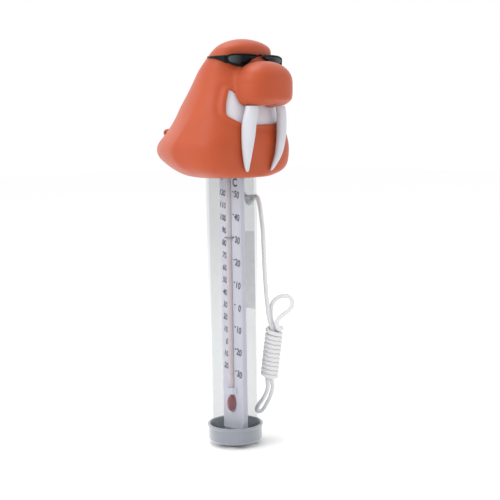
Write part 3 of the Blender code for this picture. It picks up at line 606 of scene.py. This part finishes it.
def cord_route():
    """One cord: from the knot round the tube's neck, down, through the hank and round it."""
    long = hank_frame()[4]
    route = [
        (9.6, 18.0, 135.6), (8.4, 19.0, 136.8), (6.6, 20.0, 138.2), (4.4, 20.4, 139.8), (2.6, 19.4, 142.6),
        (1.0, 18.2, 145.6), (-0.6, 17.2, 148.0), (-2.6, 16.1, 150.2), (-4.6, 15.5, 151.8),
    ]
    for k in range(29):
        a = math.radians(115.0 + 290.0 * k / 28)
        route.append((LOOP_R * math.cos(a), LOOP_R * math.sin(a), LOOP_Z))
    route += [
        (9.2, 13.5, 151.8), (7.4, 14.7, 150.4), (5.8, 16.4, 148.2), (5.0, 17.9, 145.8), (5.3, 18.9, 143.4),
        (6.4, 19.1, 141.2), (7.8, 18.6, 139.0), (9.0, 18.0, 137.2), (10.5, 17.2, 136.2), (12.2, 16.0, 137.0),
    ]
    route += list(STANDING)
    for k in range(9):
        route.append(tuple(in_hank(200.0 - 60.0 * k / 8, CORE_R, 0.6 + (long - 1.2) * k / 8)))
    route += list(BOTTOM_BIGHT)
    for k in range(9):
        route.append(tuple(in_hank(20.0 + 60.0 * k / 8, CORE_R, (long - 0.6) - (long - 1.2) * k / 8)))
    route += list(TOP_BIGHT)
    route.append(tuple(in_hank(WRAP_START - 20.0, WRAP_R + 0.1, -1.9)))
    steps = int(WRAP_TURNS * 16)
    for k in range(steps + 1):
        turn = WRAP_TURNS * k / steps
        lead = min(turn, 1.0)
        depth = -0.7 + 3.2 * lead**1.3 + WRAP_PITCH * max(turn - 1.0, 0.0)
        tuck = 0.5 * max(turn - WRAP_TURNS + 0.25, 0.0) / 0.25
        route.append(tuple(in_hank(WRAP_START + 360.0 * turn, WRAP_R - tuck, depth)))
    return [cord_point(p) for p in route]


def make_cord():
    line = smooth_line(cord_route(), 0.9 * MM)
    cord = dress(swept("tether_braid", line, CORD_R), "cord", None)
    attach(cord, "tube")
    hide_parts("tether_loop", "tether_cord", "tether_hank", "tether_top_bight", "tether_bottom_bight")

    ball = []
    for k in range(73):
        a = 2 * math.pi * k / 72
        x = math.sin(a) + 2 * math.sin(2 * a)
        z = math.cos(a) - 2 * math.cos(2 * a)
        y = -math.sin(3 * a)
        ball.append(cord_point((KNOT[0] + 0.95 * x, KNOT[1] + 1.5 * y, KNOT[2] + 0.75 * z)))
    knot = dress(swept("tether_knot_turns", smooth_line(ball, 0.9 * MM), CORD_R), "cord", None)
    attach(knot, "tube")
    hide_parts("tether_knot")


# --- the head --------------------------------------------------------------------------

SECTION_HEIGHTS = np.array([section[0] for section in HEAD_SECTIONS])


def section_at(height):
    """The head's section at a height, smoothly between the listed ones."""
    z = min(max(height, SECTION_HEIGHTS[0]), SECTION_HEIGHTS[-1])
    last = len(SECTION_HEIGHTS) - 1
    i = int(min(max(np.searchsorted(SECTION_HEIGHTS, z) - 1, 0), last - 1))
    rows = [np.array(HEAD_SECTIONS[min(max(i + k, 0), last)]) for k in (-1, 0, 1, 2)]
    gap = rows[2][0] - rows[1][0]
    t = (z - rows[1][0]) / gap
    slope_a = (rows[2] - rows[0]) / max(rows[2][0] - rows[0][0], 1e-6) * gap
    slope_b = (rows[3] - rows[1]) / max(rows[3][0] - rows[1][0], 1e-6) * gap
    a, b = rows[1], rows[2]
    return (a * (2 * t**3 - 3 * t**2 + 1) + slope_a * (t**3 - 2 * t**2 + t)
            + b * (3 * t**2 - 2 * t**3) + slope_b * (t**3 - t**2))


def head_ring(height, inset, count):
    _, back, front, half, square, taper = section_at(height)
    middle = front - WIDEST * (front - back)
    ahead, behind, half = front - middle - inset, middle - back - inset, half - inset
    ring = []
    for i in range(count):
        angle = 2 * math.pi * i / count
        c, s = math.cos(angle), math.sin(angle)
        power = 2 / square if c > 0 else 1.0
        reach = ahead if c > 0 else behind
        forward = middle + reach * math.copysign(abs(c) ** power, c)
        right = half * math.copysign(abs(s) ** power, s) * (1 + taper * min(c, 0.0))
        ring.append(head_point(forward, right, height))
    return ring


def head_form(name, inset, low=151.0, high=227.0, count=120, rows=80):
    heights = [low + (high - low) * (0.5 - 0.5 * math.cos(math.pi * k / rows)) for k in range(rows + 1)]
    return loft(name, [head_ring(z, inset, count) for z in heights])


def muzzle_reach(x, y, z):
    """The muzzle's own measure of a direction: 1 on its surface."""
    rise = np.where(z > 0, MUZZLE_UPPER, MUZZLE_LOWER)
    plan = (np.abs(x) ** MUZZLE_PLAN + np.abs(y) ** MUZZLE_PLAN) ** (rise / MUZZLE_PLAN)
    return (plan + np.abs(z) ** rise) ** (1 / rise)


def muzzle_form(name):
    bm = bmesh.new()
    bmesh.ops.create_icosphere(bm, subdivisions=5, radius=1.0)
    forward, up = MUZZLE_CENTRE
    middle = head_point(forward, 0.0, up)
    for vert in bm.verts:
        x, y, z = vert.co
        reach = 1 / float(muzzle_reach(x, y, z))
        tall = MUZZLE_RISE if z > 0 else MUZZLE_DROP
        vert.co = middle + Vector((x * MUZZLE_RADII[1], y * MUZZLE_RADII[0], z * tall)) * MM * reach
    return mesh_object(name, bm)


def mouth_loop():
    """The mouth's whole outline, both halves."""
    return list(MOUTH) + [(-x, z) for x, z in reversed(MOUTH) if x > 0.01]


def grown(outline, grow):
    """The outline moved outward by a distance, with its corners kept."""
    area = sum(a[0] * b[1] - b[0] * a[1] for a, b in zip(outline, outline[1:] + outline[:1]))
    turn = 1.0 if area > 0 else -1.0
    moved = []
    for i, (x, y) in enumerate(outline):
        here = Vector((x, y))
        before = (here - Vector(outline[i - 1])).normalized()
        after = (Vector(outline[(i + 1) % len(outline)]) - here).normalized()
        share = (Vector((before.y, -before.x)) + Vector((after.y, -after.x))) * turn
        cosine = Vector((before.y, -before.x)).dot(Vector((after.y, -after.x)))
        here += share * grow / max(1 + cosine, 0.4)
        moved.append((here.x, here.y))
    return moved


def rounded(outline, passes=3):
    """The outline with its corners cut and cut again."""
    for _ in range(passes):
        finer = []
        for (ax, ay), (bx, by) in zip(outline, outline[1:] + outline[:1]):
            finer.append((ax * 0.8 + bx * 0.2, ay * 0.8 + by * 0.2))
            finer.append((ax * 0.2 + bx * 0.8, ay * 0.2 + by * 0.8))
        outline = finer
    return outline


def mouth_prism(name, grow, near=0.0, far=60.0):
    loop = rounded(grown(mouth_loop(), grow))
    rings = [[head_point(f, x, z) for x, z in loop] for f in (near, far)]
    return loft(name, rings)


def nearest_distance(points, obj):
    tree = BVHTree.FromObject(obj, bpy.context.evaluated_depsgraph_get())
    return np.array([tree.find_nearest(Vector(p))[3] for p in points])


def mouth_distance(right, up):
    """Distance outside the mouth's outline in the front view, and zero inside it."""
    loop = np.array(rounded(mouth_loop(), 2))
    a, b = loop, np.roll(loop, -1, axis=0)
    p = np.stack([right, up], axis=1)
    best = np.full(len(p), 1e9)
    inside = np.zeros(len(p), bool)
    for (ax, ay), (bx, by) in zip(a, b):
        d = np.array([bx - ax, by - ay])
        t = np.clip(((p - (ax, ay)) @ d) / max(d @ d, 1e-9), 0, 1)
        best = np.minimum(best, np.linalg.norm(p - (ax, ay) - t[:, None] * d, axis=1))
        crosses = (ay > p[:, 1]) != (by > p[:, 1])
        slope = (bx - ax) * (p[:, 1] - ay) / (by - ay if abs(by - ay) > 1e-9 else 1e-9) + ax
        inside ^= crosses & (p[:, 0] < slope)
    return np.where(inside, -best, best)


def sculpt_head(obj, plain_head, plain_muzzle):
    """Softens the join of muzzle and face, then raises the lip and presses in the creases."""
    mesh = obj.data
    count = len(mesh.vertices)
    co = np.zeros(count * 3)
    mesh.vertices.foreach_get("co", co)
    co = co.reshape(-1, 3)
    edges = np.zeros(len(mesh.edges) * 2, int)
    mesh.edges.foreach_get("vertices", edges)
    a, b = edges.reshape(-1, 2).T
    degree = np.bincount(a, minlength=count) + np.bincount(b, minlength=count)

    def averaged(values):
        total = np.zeros_like(values)
        np.add.at(total, a, values[b])
        np.add.at(total, b, values[a])
        return total / degree[:, None]

    join = np.maximum(nearest_distance(co, plain_head), nearest_distance(co, plain_muzzle)) / MM
    up = co[:, 2] / MM - DATUM
    soft = np.clip(1 - join / 4.5, 0, 1) * np.clip((up - 193.5) / 5.0, 0.12, 1)
    for _ in range(70):
        co += (averaged(co) - co) * (0.6 * soft)[:, None]
    for _ in range(3):
        co += (averaged(co) - co) * 0.5

    mesh.vertices.foreach_set("co", co.ravel())
    mesh.update()
    normal = np.zeros(count * 3)
    mesh.vertices.foreach_get("normal", normal)
    normal = normal.reshape(-1, 3)
    right, forward, up = -co[:, 0] / MM, -co[:, 1] / MM, co[:, 2] / MM - DATUM
    facing = np.clip((forward - 6.0) / 8.0, 0, 1)
    out = mouth_distance(np.abs(right), up)
    lift = 0.6 * np.exp(-(((out - 1.0) / 0.9) ** 2))
    above = up - MUZZLE_CENTRE[1]
    on_muzzle = muzzle_reach(
        right / MUZZLE_RADII[1], (forward - MUZZLE_CENTRE[0]) / MUZZLE_RADII[0],
        above / np.where(above > 0, MUZZLE_RISE, MUZZLE_DROP),
    ) < 1.12
    lift = np.where(on_muzzle, 0.0, lift)
    groove = -0.35 * np.exp(-(((out - 3.0) / 0.9) ** 2)) * np.clip((np.abs(right) - 13.0) / 5.0, 0, 1)
    lower_lip = -0.55 * np.exp(-(((up - 177.6 + 0.012 * right**2) / 1.1) ** 2))
    lower_lip *= np.clip(1 - np.abs(right) / 15.0, 0, 1)
    arch = np.maximum(np.exp(-((right / 3.2) ** 2)), np.clip((forward - 31.0) / 6.0, 0, 1))
    notch = 1.3 * arch * np.clip((194.0 - up) / 3.0, 0, 1) * np.clip((forward - 22.0) / 3.0, 0, 1)
    co += normal * ((lift + groove + lower_lip) * facing * MM)[:, None]
    co[:, 2] += notch * MM * np.where(up > 186.0, 1.0, 0.0)
    for _ in range(2):
        co += (averaged(co) - co) * 0.4
    mesh.vertices.foreach_set("co", co.ravel())
    mesh.update()


def tusk_rings(side, grow, fine=5, sides=28, top_extra=0.0):
    """Rings down one tusk, with its section turned towards the front corner of the face."""
    rows = np.array(TUSK)
    wanted = np.linspace(0, len(rows) - 1, (len(rows) - 1) * fine + 1)
    rings = []
    for w in wanted:
        i = int(min(w, len(rows) - 2))
        t = w - i
        p = [rows[min(max(i + k, 0), len(rows) - 1)] for k in (-1, 0, 1, 2)]
        row = 0.5 * (2 * p[1] + (p[2] - p[0]) * t + (2 * p[0] - 5 * p[1] + 4 * p[2] - p[3]) * t**2
                     + (3 * p[1] - p[0] - 3 * p[2] + p[3]) * t**3)
        up, forward, across, wide, deep = row
        lean = TUSK_LEAN * side
        ring = []
        for k in range(sides):
            angle = 2 * math.pi * k / sides
            x = (wide / 2 + grow) * math.cos(angle)
            y = (deep / 2 + grow) * math.sin(angle)
            ahead = x * math.cos(lean) + y * math.sin(lean)
            aside = -x * math.sin(lean) + y * math.cos(lean)
            above = top_extra if w == 0 else 0.0
            ring.append(head_point(forward + ahead, side * across + aside, up + above))
        rings.append(ring)
    return rings


def lens_frame(side):
    inner = head_point(LENS_INNER[1], side * LENS_INNER[0], LENS_Z)
    outer = head_point(LENS_OUTER[1], side * LENS_OUTER[0], LENS_Z)
    along = (outer - inner).normalized()
    up = Vector((0.0, 0.0, 1.0))
    place = Matrix((along, up, along.cross(up))).transposed().to_4x4()
    place.translation = inner
    return place


def lens_loop(grow, count=72):
    middle = Vector((10.4, 0.8, 0.0))
    points = [Vector((x, y, 0.0)) for x, y in LENS_OUTLINE]
    closed = smooth_line([*points, points[0]], 55.0 / count)[:-1]
    return [
        (middle.x + (p.x - middle.x) * (1 + grow / 10.0), middle.y + (p.y - middle.y) * (1 + grow / 3.2))
        for p in closed
    ]


def outward(side):
    """+1 where the lens plane's own third axis points out of the face, and -1 on the other side."""
    face = lens_frame(side).to_3x3() @ Vector((0.0, 0.0, 1.0))
    return 1.0 if face.y < 0 else -1.0


def lens_rings(side, layers):
    """Rings of the lens's outline: how far each is grown and how far out it stands."""
    place = lens_frame(side)
    sign = outward(side)
    return [[place @ (Vector((x, y, sign * out)) * MM) for x, y in lens_loop(grow)] for grow, out in layers]


def cylinder(name, radius, low, high, steps=72):
    return turned(name, [(0.0, high), (radius, high), (radius, low), (0.0, low)], steps, closed=False)


def make_head():
    head = head_form("head_skin", 0.0)
    muzzle = muzzle_form("muzzle_form")
    plain_head = head.copy()
    plain_head.data = head.data.copy()
    link(plain_head)
    plain_muzzle = muzzle.copy()
    plain_muzzle.data = muzzle.data.copy()
    link(plain_muzzle)
    cut(head, [muzzle], "UNION")
    remesh = head.modifiers.new("even", "REMESH")
    remesh.mode = "VOXEL"
    remesh.voxel_size = 0.85 * MM
    applied(head)
    sculpt_head(head, plain_head, plain_muzzle)
    bpy.data.objects.remove(plain_head)
    bpy.data.objects.remove(plain_muzzle)

    lug = make_lug()
    cut(head, [lug], "UNION")
    pocket = mouth_prism("pocket", 0.1)
    cut(pocket, [head_form("pocket_reach", -0.8, 172.0, 208.0, 100, 30)], "INTERSECT")
    cut(pocket, [head_form("pocket_floor", 2.4, 170.0, 210.0, 100, 30)])
    tools = [pocket]
    for side in (1, -1):
        tools.append(loft("socket", tusk_rings(side, 0.12, top_extra=0.3)))
    for name, radius, low, high in (
        ("neck_bore", TUBE_R + 0.3, 140.0, 166.0), ("cord_recess", 18.0, 140.0, 155.6),
        ("collar_room", 18.8, 158.3, 176.0),
    ):
        tools.append(cylinder(name, radius, low + DATUM, high + DATUM))
    hole = cylinder("lug_hole", 0.75, -6.0, 6.0, 24)
    hole.rotation_euler = (0.0, math.radians(90.0), 0.0)
    hole.location = head_point(LUG_CENTRE[0], 0.0, LUG_CENTRE[1])
    tools.append(hole)
    cut(head, tools)
    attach(dress(head, "vinyl", 40.0), "float_head")
    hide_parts("head_shell")

    panel = mouth_prism("mouth_panel", 0.0)
    cut(panel, [head_form("panel_front", 0.9, 172.0, 208.0, 100, 30)], "INTERSECT")
    cut(panel, [head_form("panel_back", 2.1, 170.0, 210.0, 100, 30)]
        + [loft("room", tusk_rings(s, 0.12, top_extra=2.0)) for s in (1, -1)])
    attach(dress(panel, "paint", 40.0), "float_head")
    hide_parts("mouth_plate")

    for side, word in ((1, "right"), (-1, "left")):
        tusk = dress(loft(f"{word}_tusk_form", tusk_rings(side, 0.0)), "tusk", 60.0)
        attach(tusk, "float_head")
        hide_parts(f"{word}_tusk")


def make_lug():
    """A rounded tab at the back of the head."""
    back, up = LUG_CENTRE
    outline = [(LUG_R * math.cos(a), LUG_R * math.sin(a))
               for a in (math.radians(90 + 180 * k / 24) for k in range(25))]
    outline += [(9.0, -3.4), (9.0, 3.4)]
    rings = []
    for out, inset in ((-1.6, 0.3), (-1.3, 0.0), (1.3, 0.0), (1.6, 0.3)):
        scale = 1 - inset / LUG_R
        rings.append([head_point(back + x, out, up + z * scale) for x, z in outline])
    return loft("lug", rings)


# --- the sunglasses ----------------------------------------------------------------------


def arm_rings(side):
    """The arm's sections, from inside the rim's outer end back along the head."""
    root = [(19.0, -1.9), (19.0, 2.3), (20.7, 2.4), (20.7, -1.8)]
    order = (0, 0, 3, 3, 2, 2, 1, 1)
    rings = [[head_point(20.6, side * root[i][0], LENS_Z + root[i][1]) for i in order]]
    for i, point in enumerate(rings[0]):
        nudge = Vector((0.0, 0.0, 0.05 if i in (0, 3) else -0.05 if i in (4, 7) else 0.0))
        point += nudge * MM
    for k in range(25):
        t = k / 24
        forward = LENS_OUTER[1] - 0.2 + (ARM_END - LENS_OUTER[1]) * t
        top = LENS_Z + 2.6 + 0.3 * t
        low = LENS_Z + 1.8 - 3.4 * (1 - t) ** 2
        _, back, front, half, square, _ = section_at((top + low) / 2)
        middle = front - WIDEST * (front - back)
        reach = (front - middle) if forward > middle else (middle - back)
        power = square if forward > middle else 2.0
        share = min(abs(forward - middle) / reach, 0.999)
        gap = half * (1 - share**power) ** (1 / power) + 0.75 - 0.4 * t
        across = gap if t > 0.55 else max(gap, LENS_OUTER[0] - 0.75 - 1.1 * t)
        thick = 1.2 - 0.5 * t
        ease = min(0.35, (top - low) / 3)
        ring = [
            (across, low + ease), (across + ease, low),
            (across + thick - ease, low), (across + thick, low + ease),
            (across + thick, top - ease), (across + thick - ease, top),
            (across + ease, top), (across, top - ease),
        ]
        rings.append([head_point(forward, side * a, h) for a, h in ring])
    return rings


def make_sunglasses():
    frames = None
    for side, word in ((1, "right"), (-1, "left")):
        rim = ((-0.25, -0.75), (0.0, -0.5), (0.0, 0.5), (-0.25, 0.75), (-0.6, 0.8))
        body = loft("rim", lens_rings(side, rim))
        hollow = loft("rim_hollow", lens_rings(side, ((-0.8, 0.25), (-0.7, 1.2))))
        cut(body, [hollow])
        body.name = "shades_frame"
        frames = body if frames is None else cut(frames, [body], "UNION")
        arm = loft("arm", arm_rings(side))
        cut(frames, [arm], "UNION")
        crown = [(-0.82, 0.28), (-0.85, 0.42), (-1.1, 0.62), (-1.7, 0.85), (-2.4, 1.0)]
        glass = loft(f"{word}_lens_form", lens_rings(side, crown))
        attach(dress(glass, "lens", 60.0), "float_head")
        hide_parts(f"{word}_lens")
    points = [head_point(24.2, 2.2, LENS_Z + 2.5), head_point(24.9, 0.0, LENS_Z + 3.0),
              head_point(24.2, -2.2, LENS_Z + 2.5)]
    cut(frames, [swept("bridge", smooth_line(points, 0.4 * MM), 0.62, 16)], "UNION")
    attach(dress(frames, "black", 30.0), "float_head")
    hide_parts("sunglasses_frame")


# --- the scale -------------------------------------------------------------------------


def celsius_height(degrees):
    return CELSIUS_ZERO_Z + MM_PER_CELSIUS * degrees


def text_mesh(words):
    """Flat letters one unit tall, with the right-hand end at x = 0 and the middle at y = 0."""
    curve = bpy.data.curves.new("label", "FONT")
    curve.body = words
    curve.align_x = "RIGHT"
    curve.offset = 0.022
    holder = link(bpy.data.objects.new("label", curve))
    bpy.context.view_layer.update()
    mesh = bpy.data.meshes.new_from_object(holder.evaluated_get(bpy.context.evaluated_depsgraph_get()))
    bpy.data.objects.remove(holder)
    low, high = (f(v.co.y for v in mesh.vertices) for f in (min, max))
    right = max(v.co.x for v in mesh.vertices)
    mesh.transform(Matrix.Translation((-right, -(low + high) / 2, 0.0)))
    mesh.transform(Matrix.Scale(1 / (high - low), 4))
    return mesh


def text_width(words):
    mesh = text_mesh(words)
    return -min(v.co.x for v in mesh.vertices)


def add_text(bm, words, right_end, up, tall, narrow, degrees=0.0):
    """Lays a label on the plate's face, as thin raised ink, turned about its right-hand end."""
    turn = Matrix.Rotation(math.radians(degrees), 2)
    start = len(bm.verts)
    bm.from_mesh(text_mesh(words))
    bm.verts.ensure_lookup_table()
    for vert in bm.verts[start:]:
        x, y = turn @ Vector((vert.co.x * tall * narrow, vert.co.y * tall))
        vert.co = plate_point(right_end + x, PLATE_FACE + INK, up + y)


def add_bar(bm, along, up, wide, tall, degrees=0.0):
    """Lays a short printed bar on the plate's face."""
    turn = Matrix.Rotation(math.radians(degrees), 2)
    square = ((-1, -1), (1, -1), (1, 1), (-1, 1))
    corners = [turn @ Vector((x * wide / 2, y * tall / 2)) for x, y in square]
    bm.faces.new([bm.verts.new(plate_point(along + c.x, PLATE_FACE + INK, up + c.y)) for c in corners])


def make_scale():
    """Celsius on one side of the stem and Fahrenheit on the other, with fine ticks beside it."""
    bm = bmesh.new()
    pair = text_width("00")
    for degrees in range(-30, 51, 10):
        z = celsius_height(degrees)
        add_text(bm, str(abs(degrees)), 8.9, z - 0.3, 4.0, 4.5 / (4.0 * pair), PRINT_SLANT)
        add_bar(bm, 3.5, z + 1.6, 1.3, 0.8, PRINT_SLANT)
    for degrees in range(-20, 121, 10):
        z = celsius_height((degrees - 32) / 1.8)
        add_text(bm, str(abs(degrees)), -3.4, z + 1.8, 3.5, 3.8 / (3.5 * pair), PRINT_SLANT)
    for degrees in range(-30, 51, 2):
        add_bar(bm, 2.5, celsius_height(degrees), 0.5 if degrees % 10 else 0.9, 0.12)
    for degrees in range(-20, 121, 4):
        add_bar(bm, -2.5, celsius_height((degrees - 32) / 1.8), 0.5 if degrees % 20 else 0.9, 0.12)
    add_text(bm, "C", 7.4, 148.0, 4.8, 0.95)
    add_text(bm, "F", -4.4, 151.2, 4.8, 0.9)
    bmesh.ops.solidify(bm, geom=bm.faces[:], thickness=INK * MM)
    bmesh.ops.recalc_face_normals(bm, faces=bm.faces)
    ink = dress(mesh_object("scale_print", bm), "ink", None)
    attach(ink, "tube")


def make_plate_ribs():
    """Fine upright ribs moulded along the plate's two side flanges."""
    bm = bmesh.new()
    for side in (1, -1):
        for k in range(3):
            out = PLATE_FACE - 0.9 - 0.95 * k
            rows = []
            for z in (PLATE_Z[0] + 1.0, PLATE_Z[1] - 0.5):
                profile = ((PLATE_HALF - 0.05, out - 0.22), (PLATE_HALF + 0.18, out - 0.1),
                           (PLATE_HALF + 0.18, out + 0.1), (PLATE_HALF - 0.05, out + 0.22))
                rows.append([bm.verts.new(plate_point(side * a, n, z)) for a, n in profile])
            for i in range(4):
                j = (i + 1) % 4
                bm.faces.new((rows[0][i], rows[0][j], rows[1][j], rows[1][i]))
            bm.faces.new(rows[0])
            bm.faces.new(rows[1])
    bmesh.ops.recalc_face_normals(bm, faces=bm.faces)
    ribs = dress(mesh_object("plate_side_ribs", bm), "plate")
    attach(ribs, "tube")


def make_spirit():
    """The red thread in the stem: a dense core, and round it the tint that the glass spreads."""
    heights = [STEM_BOTTOM + (SPIRIT_TOP - STEM_BOTTOM) * k / 60 for k in range(61)]
    layers = []
    for radius, key in ((0.92, "haze"), (0.36, "thread")):
        rings = []
        for z in heights:
            r = radius * (0.6 if z == heights[-1] else 1.0)
            rings.append([plate_point(r * math.cos(a), STEM_N + r * math.sin(a), z)
                          for a in (2 * math.pi * i / 20 for i in range(20))])
        layers.append(dress(loft("spirit_thread", rings), key))
    thread, core = layers
    thread.data.materials.append(core.data.materials[0])
    bm = bmesh.new()
    bm.from_mesh(thread.data)
    count = len(bm.faces)
    bm.from_mesh(core.data)
    bm.faces.ensure_lookup_table()
    for face in bm.faces[count:]:
        face.material_index = 1
    bm.to_mesh(thread.data)
    bm.free()
    bpy.data.objects.remove(core)
    thread.name = "spirit_thread"
    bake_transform(thread)
    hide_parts("spirit_column")


def dress_frame():
    """The CAD nodes that stay get their own finishes."""
    kept = {
        "clear_tube": "tube", "tube_top_plug": "collar", "neck_collar": "collar", "neck_seal_ring": "seal",
        "end_cap": "cap", "scale_plate": "plate", "glass_stem": "glass", "stem_tip": "glass",
        "glass_bulb": "bulb", "upper_clip": "steel", "neck_saddle": "plate", "rear_label": "label",
    }
    for name, key in kept.items():
        mesh = NODES[name].data
        mesh.materials.clear()
        mesh.materials.append(MATERIALS[key].material)
        mesh.shade_smooth()
        mesh.set_sharp_from_angle(angle=math.radians(30.0))


make_camera()
make_materials()
make_cord()
make_studio()
make_head()
make_sunglasses()
make_scale()
make_plate_ribs()
make_spirit()
dress_frame()
